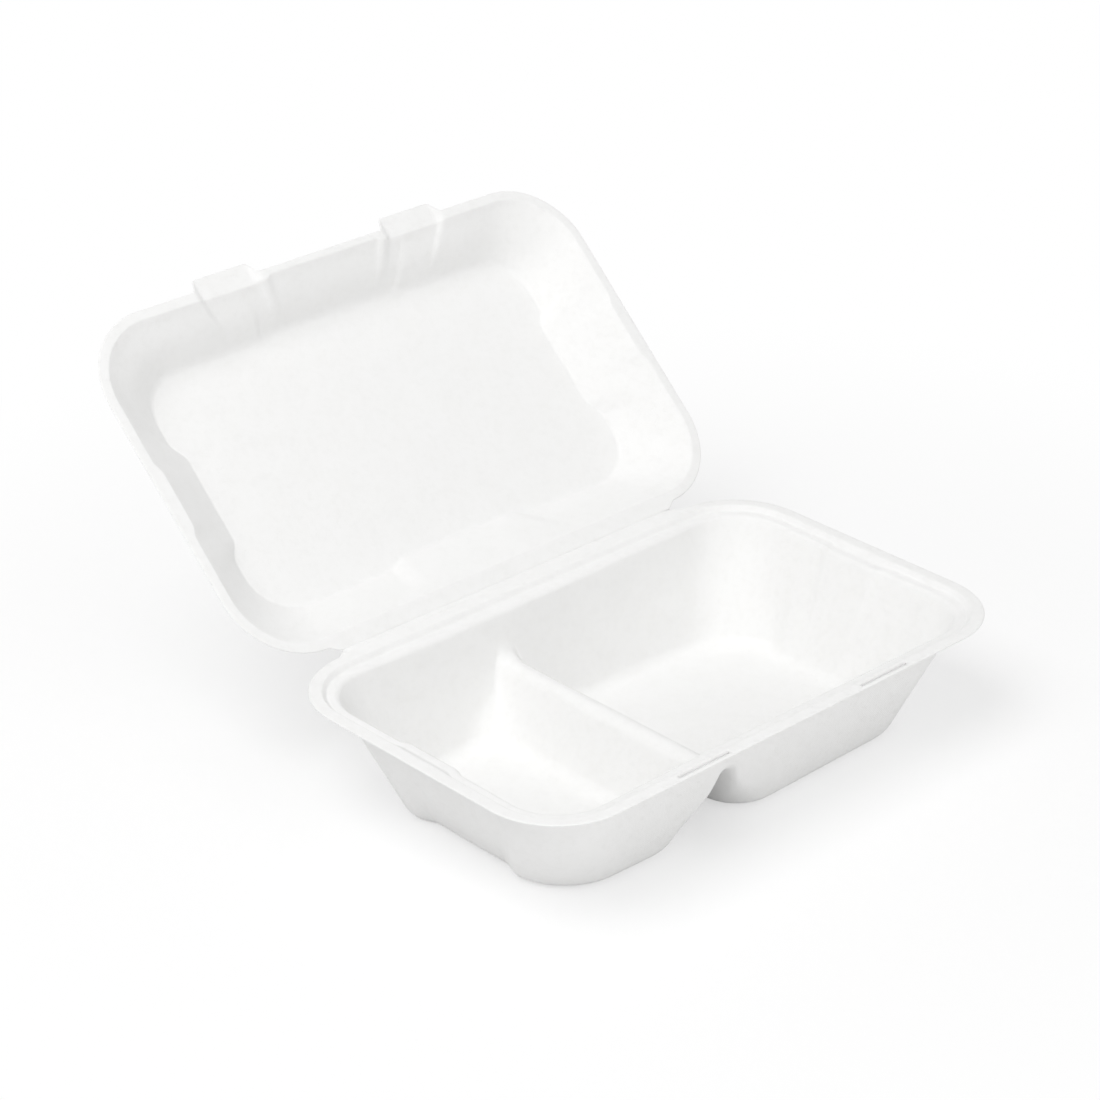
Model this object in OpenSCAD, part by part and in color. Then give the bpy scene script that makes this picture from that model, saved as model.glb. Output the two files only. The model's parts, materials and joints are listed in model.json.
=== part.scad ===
// Two-compartment clamshell food box, pressed from one sheet of bagasse pulp, with its lid standing open.
// Millimetres. X runs along the hinge, +Y is the hinge side, +Z is up, and the feet stand on Z = 0.
// Every face can be drawn off a mould: the sections are arcs and drafted walls, with no undercut.

/* [Outline] */
// Length over the flange, along the hinge
box_l = 232; // [210:1:256]
// Width over the flange of each half
box_w = 142; // [130:1:160]
// Plan radius of the flange's corners
rim_r = 30; // [26:1:34]

/* [Base tray] */
// Height of the flange above the table
base_h = 46; // [40:1:54]
// Thickness of the pulp in the tray
base_t = 0.9; // [0.7:0.05:1]
// Width of the tray's flat outer flange
base_flat = 4.2; // [3.8:0.1:4.6]
// Depth of the step from the flange down to the ledge
step_h = 2; // [1.6:0.1:2.4]
// Run of that step
step_run = 2.6; // [2.4:0.1:3]
// Fillet radius at the step's top and foot
step_r = 1.1; // [1:0.1:1.2]
// Width of the ledge that takes the lid
ledge_w = 2; // [1.4:0.1:3]
// Rounding from the ledge into the walls
mouth_r = 2.6; // [2:0.1:3.4]
// Fillet radius between walls and floor
foot_r = 6; // [4.5:0.5:7]
// Gap in plan between flange edge and floor, at front and back
foot_in_y = 27; // [25:0.5:30]
// Gap in plan between flange edge and floor, at the ends
foot_in_x = 30; // [28:0.5:34]
// Plan radius of the floors' outer corners
foot_corner = 22; // [16:1:24]

/* [Divider] */
// Place of the divider's crest along the box, from its middle
crest_x = -20; // [-26:1:-14]
// Depth of the crest below the flange
crest_drop = 19; // [15:0.5:23]
// Rounding of the crest
crest_r = 5; // [4:0.5:6]
// Fillet radius from the crest up into the front and back walls
flare_r = 8; // [6:0.5:9]
// Gap in plan between crest and floor on each side
crest_foot = 17; // [16:0.5:19]

/* [Lid] */
// Angle to which the lid stands open, from closed
lid_angle = 137; // [100:1:140]
// Inside depth of the lid
lid_h = 17; // [14:0.5:24]
// Thickness of the pulp in the lid
lid_t = 0.6; // [0.5:0.05:0.8]
// Width of the lid's flat flange
lid_flat = 3.4; // [2.8:0.1:3.8]
// Rounding from the flange into the walls
lid_mouth_r = 1.6; // [1.2:0.1:2]
// Fillet radius between the top panel and the hinge-side and end walls
panel_r = 2.5; // [2:0.5:4]
// Fillet radius between the top panel and the front wall
front_r = 9; // [6:0.5:10]
// Gap in plan between flange edge and top panel, at front and back
panel_in_y = 22; // [20:0.5:25]
// Gap in plan between flange edge and top panel, at the ends
panel_in_x = 25; // [22:0.5:28]
// Plan radius of the panel's corners
panel_corner = 18; // [14:1:22]

/* [Stiffening insets] */
// Inset of both halves' end walls at the rim
end_rim = 1.6; // [0.8:0.1:2]
// Inset of the tray's end walls at the floor
end_foot = 3.2; // [2:0.1:4]
// Inset of the lid's end walls at the panel
end_panel = 4; // [2:0.1:5]
// Half width of the end insets at the rim
end_rim_w = 11; // [8:1:14]
// Half width of the end insets at floor and panel
end_low_w = 16; // [12:1:18]
// Width of each inset's slanted side
inset_ramp = 5; // [4:0.5:7]
// Inset of the lid's hinge-side wall at the panel
hinge_inset = 3; // [1.5:0.1:4]
// Half width of the hinge-side inset
hinge_inset_w = 26; // [20:1:32]
// Bulge of the lid's front wall between the lock tabs
front_bulge = 1.5; // [0.8:0.1:2]
// Half width of that bulge at the rim
front_bulge_w = 26; // [22:1:28]

/* [Lock] */
// Distance of each lock tab from the box's middle
tab_x = 45; // [42:1:50]
// Width of a lock tab over its root
tab_w = 27; // [22:1:30]
// Reach of a tab past the flange
tab_out = 5.2; // [3.5:0.1:6]
// Step of the tab's pocket below the flange
tab_step = 1.6; // [1:0.1:2]
// Slant of a tab's sides
tab_ramp = 3.6; // [3:0.1:5]
// Width of each slot in the tray's front flange
slot_w = 1.2; // [1:0.1:1.4]
// Distance of the slot's middle from the flange edge
slot_in = 2.2; // [2:0.1:2.6]
// How much shorter a slot is than its tab
slot_short = 3; // [2:0.5:5]

/* [Hinge] */
// Width of the fold strip on each side of the crease
fold_w = 2.6; // [2:0.1:3.2]
// Half length of the fold strip
fold_half = 82; // [70:1:88]
// Size of the concave notch at each end of the strip
fold_notch = 4.5; // [3.5:0.5:6]
// Cut at the crease, and gap between the closed flanges
crease_gap = 0.3; // [0.2:0.05:0.5]

/* [Finish] */
// Segments in each rounding of a section
arc_n = 3; // [2:1:3]
// Segments in each floor or panel fillet
fillet_n = 4; // [3:1:4]

/* [Hidden] */
pulp = [0.93, 0.92, 0.88];
mouth_d = base_flat + step_run + ledge_w;
hinge_y = box_w / 2 + fold_w;
hinge_z = base_h + crease_gap / 2;
floor_z = base_t - base_h;
small_n = 11;
large_n = 17;
end_n = 17;
corner_n = 5;

// Smooth step from 0 to 1
function clip(t) = max(0, min(1, t));
function ease(t) = clip(t) * clip(t) * (3 - 2 * clip(t));

// 1 within w of the middle, falling smoothly to 0 over the ramp
function swell(q, w, ramp) = 1 - ease((abs(q) - w) / ramp);

function flat_pair(p) = [p.x, p.y];
function unit(v) = v / norm(v);

// Slope of the wall that joins two level arcs, their radii adding up to r, over this run and drop
function wall_slope(run, drop, r) = acos(-r / norm([drop - r, run])) - atan2(run, drop - r);

// S-shaped section as [run, drop, slope]: an arc off the level, a straight wall, an arc back to the level
function section(run, drop, ra, rb, na, nb) =
    let (s = wall_slope(run, drop, ra + rb))
    concat(
        [for (k = [0:na]) let (a = s * k / na) [ra * sin(a), ra * (1 - cos(a)), a]],
        [for (k = [0:nb]) let (a = s * (1 - k / nb)) [run - rb * sin(a), drop - rb * (1 - cos(a)), a]]
    );

// Run of such a section whose wall has the slope s
function wall_run(drop, r, s) = r * sin(s) + (drop - r * (1 - cos(s))) / tan(s);

// Place on a side of length l at fraction f, from mid-corner to mid-corner: [along it, in from it]
function along(l, ra, rb, f) =
    let (ha = ra * PI / 4, hb = rb * PI / 4, straight = l - ra - rb, s = f * (ha + straight + hb))
    s < ha
        ? let (q = 45 - s / ra * 180 / PI) [ra - l / 2 - ra * sin(q), ra - ra * cos(q)]
        : s > ha + straight
            ? let (q = (s - ha - straight) / rb * 180 / PI) [l / 2 - rb + rb * sin(q), rb - rb * cos(q)]
            : [ra - l / 2 + s - ha, 0];

// Fraction of a side at which it passes the coordinate q, counted from the side's middle
function fraction(l, r, q) = (r * PI / 4 + l / 2 - r + q) / (l - 2 * r + r * PI / 2);

// Point of a rounded rectangle [x0, x1, y0, y1] with four corner radii
// Sides: 0 front, 1 right, 2 back, 3 left
function spot(box, r, side, f) =
    let (lx = box[1] - box[0], ly = box[3] - box[2], cx = (box[0] + box[1]) / 2, cy = (box[2] + box[3]) / 2)
    side == 0
        ? let (a = along(lx, r[0], r[1], f)) [cx + a.x, box[2] + a.y]
        : side == 1
            ? let (a = along(ly, r[1], r[2], f)) [box[1] - a.y, cy + a.x]
            : side == 2
                ? let (a = along(lx, r[2], r[3], f)) [cx - a.x, box[3] - a.y]
                : let (a = along(ly, r[3], r[0], f)) [box[0] + a.y, cy - a.x];

function four(r) = [r, r, r, r];
function shrink(box, d) = [box[0] + d, box[1] - d, box[2] + d, box[3] - d];

// Rows of a drafted wall from the mouth points to the floor points below, with a fillet for each floor point
function wall_rows(mouth, foot, ra, rb) =
    let (
        runs = [for (i = [0:len(mouth) - 1]) flat_pair(foot[i]) - flat_pair(mouth[i])],
        cuts = [for (i = [0:len(mouth) - 1])
            section(norm(runs[i]), mouth[i].z - foot[i].z, ra, rb[i], arc_n, fillet_n)]
    )
    [for (k = [0:arc_n + fillet_n + 1]) [for (i = [0:len(mouth) - 1])
        let (c = cuts[i][k], go = unit(runs[i]) * c.x)
        [mouth[i].x + go.x, mouth[i].y + go.y, mouth[i].z - c.y]]];

// Upward normals of a closed band of rows; the first and last rows are given
function band_normals(rows, first, last) =
    let (n = len(rows[0]), m = len(rows) - 1)
    [for (k = [0:m]) k == 0 ? first : k == m ? last : [for (i = [0:n - 1])
        let (c = cross(rows[k][(i + 1) % n] - rows[k][(i + n - 1) % n], rows[k + 1][i] - rows[k - 1][i]))
        unit(c.z < 0 ? -c : c)]];

// Other skin of the sheet, at thickness t below its rows
function under(rows, normals, t) =
    [for (k = [0:len(rows) - 1]) [for (i = [0:len(rows[0]) - 1]) rows[k][i] - t * normals[k][i]]];

function up_all(n) = [for (i = [0:n - 1]) [0, 0, 1]];
function flatten(rows) = [for (row = rows) for (p = row) p];

// Triangles of a closed band whose rows are given as point numbers
function band_faces(ids) =
    let (n = len(ids[0]))
    [for (k = [0:len(ids) - 2]) for (i = [0:n - 1])
        let (a = ids[k][i], b = ids[k][(i + 1) % n], c = ids[k + 1][(i + 1) % n], d = ids[k + 1][i])
        each [[a, c, b], [a, d, c]]];

// Triangles of a level face from its ring of points to the point m in its middle
function ring_faces(ring, m) = [for (i = [0:len(ring) - 1]) [m, ring[(i + 1) % len(ring)], ring[i]]];

function turned(faces, shift) = [for (f = faces) [for (i = [len(f) - 1:-1:0]) f[i] + shift]];
function numbers(start, rows, n) = [for (k = [0:rows - 1]) [for (i = [0:n - 1]) start + k * n + i]];

// The divider's cross-section as columns [x, level, slope, fillet to the walls], from the small floor
// over the crest to the large floor
flank = section(crest_foot, base_h - base_t - crest_drop, crest_r, foot_r, arc_n, fillet_n);
flank_last = len(flank) - 1;
function column(c, way) =
    let (up = ease((flank[flank_last].y - c.y) / foot_r))
    [crest_x + way * c.x, -crest_drop - c.y, way * c.z, foot_r + (flare_r - foot_r) * up];
columns = concat(
    [for (k = [flank_last:-1:0]) column(flank[k], -1)],
    [for (k = [1:flank_last]) column(flank[k], 1)]
);
column_n = len(columns);
ridge_x0 = columns[0][0];
ridge_x1 = columns[column_n - 1][0];

// Stations round the tray as [side, fraction of the mouth line, fraction of the floor line, column or -1]
rim_box = [-box_l / 2, box_l / 2, -box_w / 2, box_w / 2];
floor_box = [foot_in_x - box_l / 2, box_l / 2 - foot_in_x, foot_in_y - box_w / 2, box_w / 2 - foot_in_y];
function mouth_f(x) = fraction(box_l - 2 * mouth_d, rim_r - mouth_d, x);
function floor_f(x) = fraction(box_l - 2 * foot_in_x, foot_corner, x);
front_stations = concat(
    [for (j = [0:small_n - 1]) [0, mouth_f(ridge_x0) * j / small_n, floor_f(ridge_x0) * j / small_n, -1]],
    [for (i = [0:column_n - 1]) [0, mouth_f(columns[i][0]), floor_f(columns[i][0]), i]],
    [for (j = [1:large_n - 1])
        let (t = j / large_n)
        [0, mouth_f(ridge_x1) * (1 - t) + t, floor_f(ridge_x1) * (1 - t) + t, -1]]
);
end_stations = [for (j = [0:end_n - 1]) [1, j / end_n, j / end_n, -1]];
back_stations = [for (i = [len(front_stations) - 1:-1:0])
    let (q = front_stations[i])
    [2, 1 - q[1], 1 - q[2], q[3]]];
rim_stations = concat(
    front_stations,
    end_stations,
    [[2, 0, 0, -1]],
    [for (i = [0:len(back_stations) - 2]) back_stations[i]],
    [for (q = end_stations) [3, q[1], q[2], -1]]
);
rim_n = len(rim_stations);

// A tray row at distance d inside the flange edge; seat is 1 where the end insets apply, edge 1 on the edge
function tray_row(d, z, seat, edge) = [for (s = rim_stations)
    let (
        p = spot(shrink(rim_box, d), four(rim_r - d), s[0], s[1]),
        inset = s[0] % 2 == 1 ? seat * end_rim * swell(p.y, end_rim_w, inset_ramp) : 0,
        fold = s[0] == 2 ? edge * (fold_w - crease_gap / 2) * swell(p.x, fold_half, fold_notch) : 0
    )
    [p.x - sign(p.x) * inset, p.y + fold, z]];

step = section(step_run, step_h, step_r, step_r, arc_n, arc_n);
slot_end = slot_in + slot_w / 2;
tray_rim = concat(
    [tray_row(0, 0, 0, 1)],
    [tray_row((slot_end + base_flat) / 2, 0, 0, 0)],
    [for (c = step) tray_row(base_flat + c.x, -c.y, ease(c.x / step_run), 0)],
    [tray_row(mouth_d, -step_h, 1, 0)]
);
mouth = tray_rim[len(tray_rim) - 1];

// Foot of the walls: on the floors, or on the divider with the slope of the walls beside it
wall_s = wall_slope(foot_in_y - mouth_d, base_h - base_t - step_h, mouth_r + foot_r);
function foot_point(i) =
    let (
        s = rim_stations[i],
        p = spot(floor_box, four(foot_corner), s[0], s[2]),
        inset = s[0] % 2 == 1 ? end_foot * swell(p.y, end_low_w, inset_ramp) : 0,
        c = s[3] < 0 ? undef : columns[s[3]],
        reach = s[3] < 0 ? 0 : wall_run(-step_h - c[1], mouth_r + c[3], wall_s)
    )
    s[3] < 0
        ? [p.x - sign(p.x) * inset, p.y, floor_z]
        : [c[0], mouth[i].y + (s[0] == 0 ? reach : -reach), c[1]];
tray_foot = [for (i = [0:rim_n - 1]) foot_point(i)];
foot_radii = [for (s = rim_stations) s[3] < 0 ? foot_r : columns[s[3]][3]];
foot_normals = [for (s = rim_stations)
    let (a = s[3] < 0 ? 0 : columns[s[3]][2])
    [sin(a), 0, cos(a)]];

// Slots in the front flange for the lock tabs: corners front left, front right, back right, back left
function slot_corners(way) =
    let (half = (tab_w - slot_short) / 2, x = way * tab_x, y = slot_end - box_w / 2)
    [[x - half, y - slot_w, 0], [x + half, y - slot_w, 0], [x + half, y, 0], [x - half, y, 0]];
slots = [slot_corners(-1), slot_corners(1)];

// Front stations on each side of a slot, as [last before it, first after it]
front_n = len(front_stations);
function slot_span(q) = [
    max([for (i = [0:front_n - 1]) if (max(tray_rim[0][i].x, tray_rim[1][i].x) < q[0].x) i]),
    min([for (i = [0:front_n - 1]) if (min(tray_rim[0][i].x, tray_rim[1][i].x) > q[1].x) i])
];
slot_spans = [for (q = slots) slot_span(q)];
function in_span(i) = len([for (s = slot_spans) if (i >= s[0] && i < s[1]) i]) > 0;

// Triangles of the flange round the slot whose corners start at point h
function slot_faces(s, h, row0, row1) =
    let (m = floor((s[0] + s[1]) / 2))
    concat(
        [for (i = [s[0]:s[1] - 1]) [i < m ? h : h + 1, row0[i + 1], row0[i]]],
        [for (i = [s[0]:s[1] - 1]) [i < m ? h + 3 : h + 2, row1[i], row1[i + 1]]],
        [[h, h + 1, row0[m]], [h + 2, h + 3, row1[m]]],
        [[row1[s[0]], h + 3, h], [row1[s[0]], h, row0[s[0]]]],
        [[h + 2, row1[s[1]], row0[s[1]]], [h + 2, row0[s[1]], h + 1]]
    );

// The tray's sheet: rim, ledge, walls, two floors and the divider between them, open below
module tray_sheet() {
    walls = wall_rows(mouth, tray_foot, mouth_r, foot_radii);
    rows = concat(tray_rim, [for (k = [1:len(walls) - 1]) walls[k]]);
    last = len(rows) - 1;
    normals = band_normals(rows, up_all(rim_n), foot_normals);
    ids = numbers(0, len(rows), rim_n);
    foot_ids = ids[last];
    small_middle = [(floor_box[0] + ridge_x0) / 2, 0, floor_z];
    large_middle = [(ridge_x1 + floor_box[1]) / 2, 0, floor_z];
    single = concat(flatten(slots), [small_middle, large_middle]);
    upper = concat(flatten(rows), single);
    lower = concat(flatten(under(rows, normals, base_t)), [for (p = single) p - [0, 0, base_t]]);
    back_at = [for (i = [0:column_n - 1]) 2 * front_n + end_n - small_n - i];
    small_ring = concat(
        [for (i = [0:small_n]) foot_ids[i]],
        [for (i = [back_at[0]:rim_n - 1]) foot_ids[i]]
    );
    large_ring = [for (i = [small_n + column_n - 1:back_at[column_n - 1]]) foot_ids[i]];
    strips = [for (i = [0:column_n - 2])
        let (a = foot_ids[small_n + i], b = foot_ids[small_n + i + 1])
        let (c = foot_ids[back_at[i + 1]], d = foot_ids[back_at[i]])
        each [[a, c, b], [a, d, c]]];
    shift = len(upper);
    hole_at = len(rows) * rim_n;
    flange = [for (i = [0:rim_n - 1]) if (!in_span(i))
        let (j = (i + 1) % rim_n)
        each [[ids[0][i], ids[1][j], ids[0][j]], [ids[0][i], ids[1][i], ids[1][j]]]];
    round_slots = [for (q = [0:1]) each slot_faces(slot_spans[q], hole_at + 4 * q, ids[0], ids[1])];
    inner = band_faces([for (k = [1:last]) ids[k]]);
    floors = concat(ring_faces(small_ring, shift - 2), ring_faces(large_ring, shift - 1));
    skin = concat(flange, round_slots, inner, floors, strips);
    edge = [for (i = [0:rim_n - 1])
        let (j = (i + 1) % rim_n)
        each [[i, j, j + shift], [i, j + shift, i + shift]]];
    slot_edge = [for (q = [0:1]) for (c = [0:3])
        let (i = hole_at + 4 * q + c, j = hole_at + 4 * q + (c + 1) % 4)
        each [[j, i, i + shift], [j, i + shift, j + shift]]];
    polyhedron(
        points = concat(upper, lower),
        faces = concat(skin, turned(skin, shift), edge, slot_edge),
        convexity = 10
    );
}

module base_tray() {
    color(pulp)
        translate([0, 0, base_h])
            tray_sheet();
}

// Stations round the lid's rim, as pressed flat behind the crease; the long sides follow the tabs and insets
lid_box = [-box_l / 2, box_l / 2, fold_w, fold_w + box_w];
tab_a = tab_x - tab_w / 2;
tab_b = tab_x + tab_w / 2;
half_q = concat(
    [for (j = [0:3]) j / 4 * (tab_a - tab_ramp)],
    [for (j = [0:3]) tab_a - tab_ramp + j / 3 * tab_ramp],
    [for (j = [1:3]) tab_a + j / 4 * tab_w],
    [for (j = [0:3]) tab_b + j / 3 * tab_ramp],
    [for (j = [1:4]) tab_b + tab_ramp + j / 4 * (box_l / 2 - rim_r - tab_b - tab_ramp)]
);
long_q = concat([for (i = [len(half_q) - 1:-1:1]) -half_q[i]], half_q);
long_f = [for (q = long_q) fraction(box_l, rim_r, q)];
corner_f = long_f[0];
long_all = concat(
    [for (j = [0:corner_n - 1]) corner_f * j / corner_n],
    long_f,
    [for (j = [1:corner_n - 1]) 1 - corner_f + corner_f * j / corner_n]
);
lid_stations = concat(
    [for (f = long_all) [0, f]],
    [for (j = [0:end_n - 1]) [1, j / end_n]],
    [for (f = long_all) [2, f]],
    [for (j = [0:end_n - 1]) [3, j / end_n]]
);
lid_n = len(lid_stations);
lid_mid = fold_w + box_w / 2;

function tab_swell(x) = swell(abs(x) - tab_x, tab_w / 2 - tab_ramp / 2, tab_ramp);

// Push into the lid of a point on a side, at the rim (low = 0) or at the panel (low = 1)
function lid_push(side, p, low) =
    side % 2 == 1
        ? (low ? end_panel : end_rim) * swell(p.y - lid_mid, low ? end_low_w : end_rim_w, inset_ramp)
        : side == 0
            ? (low ? hinge_inset : 0) * swell(p.x, hinge_inset_w, inset_ramp)
            : -front_bulge * swell(p.x, low ? front_bulge_w + inset_ramp : front_bulge_w, inset_ramp / 2);

function pushed(side, p, push) =
    side == 0 ? [p.x, p.y + push]
    : side == 1 ? [p.x - push, p.y]
    : side == 2 ? [p.x, p.y - push]
    : [p.x + push, p.y];

function lid_row(d, seat, edge) = [for (s = lid_stations)
    let (
        p = spot(shrink(lid_box, d), four(rim_r - d), s[0], s[1]),
        tab = s[0] == 2 ? tab_swell(p.x) : 0,
        fold = s[0] == 0 ? edge * (fold_w - crease_gap / 2) * swell(p.x, fold_half, fold_notch) : 0,
        q = pushed(s[0], p, seat * lid_push(s[0], p, false) - edge * tab * tab_out - fold)
    )
    [q.x, q.y, -tab * tab_step]];

lid_foot = [for (s = lid_stations)
    let (
        box = [
            lid_box[0] + panel_in_x,
            lid_box[1] - panel_in_x,
            lid_box[2] + panel_in_y,
            lid_box[3] - panel_in_y
        ],
        p = spot(box, four(panel_corner), s[0], s[1]),
        q = pushed(s[0], p, lid_push(s[0], p, true))
    )
    [q.x, q.y, -lid_h]];

// The lid's sheet, as pressed: flange with two stepped lock tabs, drafted walls with insets, flat top panel
module lid_sheet() {
    flange = [lid_row(0, 0, 1), lid_row(lid_flat / 2, 0.5, 0)];
    lip = lid_row(lid_flat, 1, 0);
    far = lid_box[3] - panel_in_y;
    radii = [for (p = lid_foot) panel_r + (front_r - panel_r) * ease(1 - (far - p.y) / panel_corner)];
    walls = wall_rows(lip, lid_foot, lid_mouth_r, radii);
    rows = concat(flange, walls);
    normals = band_normals(rows, up_all(lid_n), up_all(lid_n));
    last = len(rows) - 1;
    ids = numbers(0, len(rows), lid_n);
    middle = [0, (lid_box[2] + lid_box[3]) / 2, rows[last][0].z];
    upper = concat(flatten(rows), [middle]);
    lower = concat(flatten(under(rows, normals, lid_t)), [middle - [0, 0, lid_t]]);
    shift = len(upper);
    skin = concat(band_faces(ids), ring_faces(ids[last], shift - 1));
    edge = [for (i = [0:lid_n - 1])
        let (j = (i + 1) % lid_n)
        each [[i, j, j + shift], [i, j + shift, i + shift]]];
    polyhedron(
        points = concat(upper, lower),
        faces = concat(skin, turned(skin, shift), edge),
        convexity = 10
    );
}

module lid() {
    color(pulp)
        translate([0, hinge_y, hinge_z])
            rotate([180 - lid_angle, 0, 0])
                translate([0, 0, -crease_gap / 2])
                    lid_sheet();
}

base_tray();
lid();
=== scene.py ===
"""Dresses a two-compartment clamshell box of pressed pulp: tray, lid, fold and a white studio."""

import json
from math import cos, pi, radians, sin

import bpy
import numpy as np
from bpy.props import FloatProperty, FloatVectorProperty, PointerProperty
from bpy.types import Operator, Panel, PropertyGroup
from mathutils import Matrix, Vector


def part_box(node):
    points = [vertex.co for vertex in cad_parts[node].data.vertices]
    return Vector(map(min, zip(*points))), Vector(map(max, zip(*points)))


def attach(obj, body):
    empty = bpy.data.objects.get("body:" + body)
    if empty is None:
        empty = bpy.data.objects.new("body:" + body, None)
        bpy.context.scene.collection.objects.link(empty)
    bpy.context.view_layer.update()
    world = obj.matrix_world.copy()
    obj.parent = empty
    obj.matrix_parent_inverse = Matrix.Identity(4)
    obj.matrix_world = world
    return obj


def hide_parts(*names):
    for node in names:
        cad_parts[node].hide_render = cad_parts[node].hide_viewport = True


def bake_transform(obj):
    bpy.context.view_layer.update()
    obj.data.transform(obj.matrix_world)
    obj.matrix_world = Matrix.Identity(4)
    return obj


bl_info = {
    "name": "Pressed pulp clamshell box",
    "version": (1, 0, 0),
    "blender": (4, 5, 0),
    "location": "View3D > Sidebar > Pulp box",
    "description": "Builds the pulp sheets of a clamshell box over its packed frame, with a white studio",
    "category": "Object",
}

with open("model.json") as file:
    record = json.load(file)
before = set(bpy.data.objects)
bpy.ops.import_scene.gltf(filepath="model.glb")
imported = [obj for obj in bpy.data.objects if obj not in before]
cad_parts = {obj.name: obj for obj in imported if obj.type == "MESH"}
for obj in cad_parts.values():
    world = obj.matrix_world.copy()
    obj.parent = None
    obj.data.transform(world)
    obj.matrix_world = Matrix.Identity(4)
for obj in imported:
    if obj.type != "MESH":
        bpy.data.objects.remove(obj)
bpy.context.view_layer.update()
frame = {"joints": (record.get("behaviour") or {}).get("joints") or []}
TRAY_LOW, TRAY_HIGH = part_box("base_tray")
HINGE = frame["joints"][0]
FOLD_Y = HINGE["pos_m"][1]
FOLD_Z = HINGE["pos_m"][2]
OPENING = radians(HINGE["range_deg"][1])
MM = 0.001
UP = np.array([0.0, 0.0, 1.0])
TINY = 1e-9

# Meshes: rings of a level face, steps of the half-round cut edge, and the drying waves' span and top.
FLOOR_RINGS = 10
LAST_RING = 0.97
EDGE_STEPS = 5
WAVE_SPAN = 0.1
WAVE_TOP = 1.5

# Pulp: noise scales per metre, and each layer of fibres by its turn, length and thickness.
CLOUD_SCALE = 90.0
PATCH_SCALE = 420.0
GRAIN_SCALE = 1500.0
FIBRE_WIDTH = 0.035
FIBRE_LAYERS = (
    ((0.3, 0.2, 0.5), 4.0 * MM, 0.45 * MM),
    ((0.2, -0.3, 2.1), 3.4 * MM, 0.40 * MM),
    ((1.1, 0.5, -0.9), 3.8 * MM, 0.42 * MM),
)
BUMP = 0.7
ROUGH_SPREAD = 0.16
MATT_FINISH = {"Specular IOR Level": 0.22, "Sheen Weight": 0.08, "Sheen Roughness": 0.6}


def length(name, millimetres, description):
    """A length property, given in millimetres and kept in metres."""
    return FloatProperty(
        name=name, description=description, default=millimetres * MM, min=0.0, unit="LENGTH", precision=5
    )


def shift(name, millimetres, description):
    """A signed distance property, given in millimetres and kept in metres."""
    return FloatProperty(
        name=name, description=description, default=millimetres * MM, unit="LENGTH", precision=5
    )


def share(name, value, description):
    """A plain number between 0 and 1."""
    return FloatProperty(
        name=name, description=description, default=value, min=0.0, max=1.0, subtype="FACTOR"
    )


def tint(name, value, description):
    """A linear colour."""
    return FloatVectorProperty(
        name=name, description=description, default=value, min=0.0, max=1.0, size=3, subtype="COLOR"
    )


class RimSizes(PropertyGroup):
    """Outline that both halves share."""

    size_x: length("Length", (TRAY_HIGH[0] - TRAY_LOW[0]) / MM, "Length over the flange, along the hinge")
    size_y: length("Width", -2 * TRAY_LOW[1] / MM, "Width over the flange of each half")
    corner: length("Corner radius", 30, "Plan radius of the flange's corners")
    gap: length("Closed gap", 0.3, "Gap between the two flanges when the lid is shut")
    warp: length("Warp", 0.15, "Height of the slow dips that drying leaves in the flange")


class TraySizes(PropertyGroup):
    """Section of the tray."""

    sheet: length("Sheet", 0.9, "Thickness of the pulp in the tray")
    flat: length("Flange", 4.2, "Width of the flat outer flange")
    step_h: length("Step depth", 2, "Depth of the step from the flange down to the ledge")
    step_run: length("Step run", 2.6, "Run of that step")
    step_r: length("Step fillet", 1.1, "Fillet radius at the step's top and foot")
    ledge: length("Ledge", 2, "Width of the ledge that takes the lid")
    mouth_r: length("Mouth rounding", 2.6, "Rounding from the ledge into the walls")
    foot_r: length("Floor fillet", 6, "Fillet radius between walls and floor")
    foot_in_y: length("Floor inset, front", 27, "Gap in plan between flange edge and floor at front and back")
    foot_in_x: length("Floor inset, ends", 30, "Gap in plan between flange edge and floor at the ends")
    foot_corner: length("Floor corner", 22, "Plan radius of the floors' outer corners")


class DividerSizes(PropertyGroup):
    """Hollow divider between the two compartments."""

    at_x: shift("Place", -20, "Place of the crest along the box, from its middle")
    drop: length("Crest depth", 19, "Depth of the crest below the flange")
    crest_r: length("Crest radius", 5, "Rounding of the crest")
    flare_r: length("Flare fillet", 8, "Fillet radius from the crest up into the front and back walls")
    foot: length("Foot", 17, "Gap in plan between crest and floor on each side")
    corner: length("Floor corner", 16, "Plan radius of the floors' corners at the divider")


class LidSizes(PropertyGroup):
    """Section of the lid."""

    sheet: length("Sheet", 0.6, "Thickness of the pulp in the lid")
    depth: length("Depth", 17, "Inside depth of the lid")
    flat: length("Flange", 3.4, "Width of the flat flange")
    mouth_r: length("Mouth rounding", 1.6, "Rounding from the flange into the walls")
    belly: length("Belly", 2, "Swelling of the front wall into the lid, which leaves the crease steep")
    panel_r: length("Panel fillet", 2.5, "Fillet radius between the panel and the hinge-side and end walls")
    front_r: length("Front fillet", 6, "Fillet radius between the panel and the front wall")
    panel_in_y: length("Panel inset, front", 22, "Gap in plan from flange edge to panel at front and back")
    panel_in_x: length("Panel inset, ends", 25, "Gap in plan from flange edge to panel at the ends")
    panel_corner: length("Panel corner", 18, "Plan radius of the panel's corners")


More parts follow.
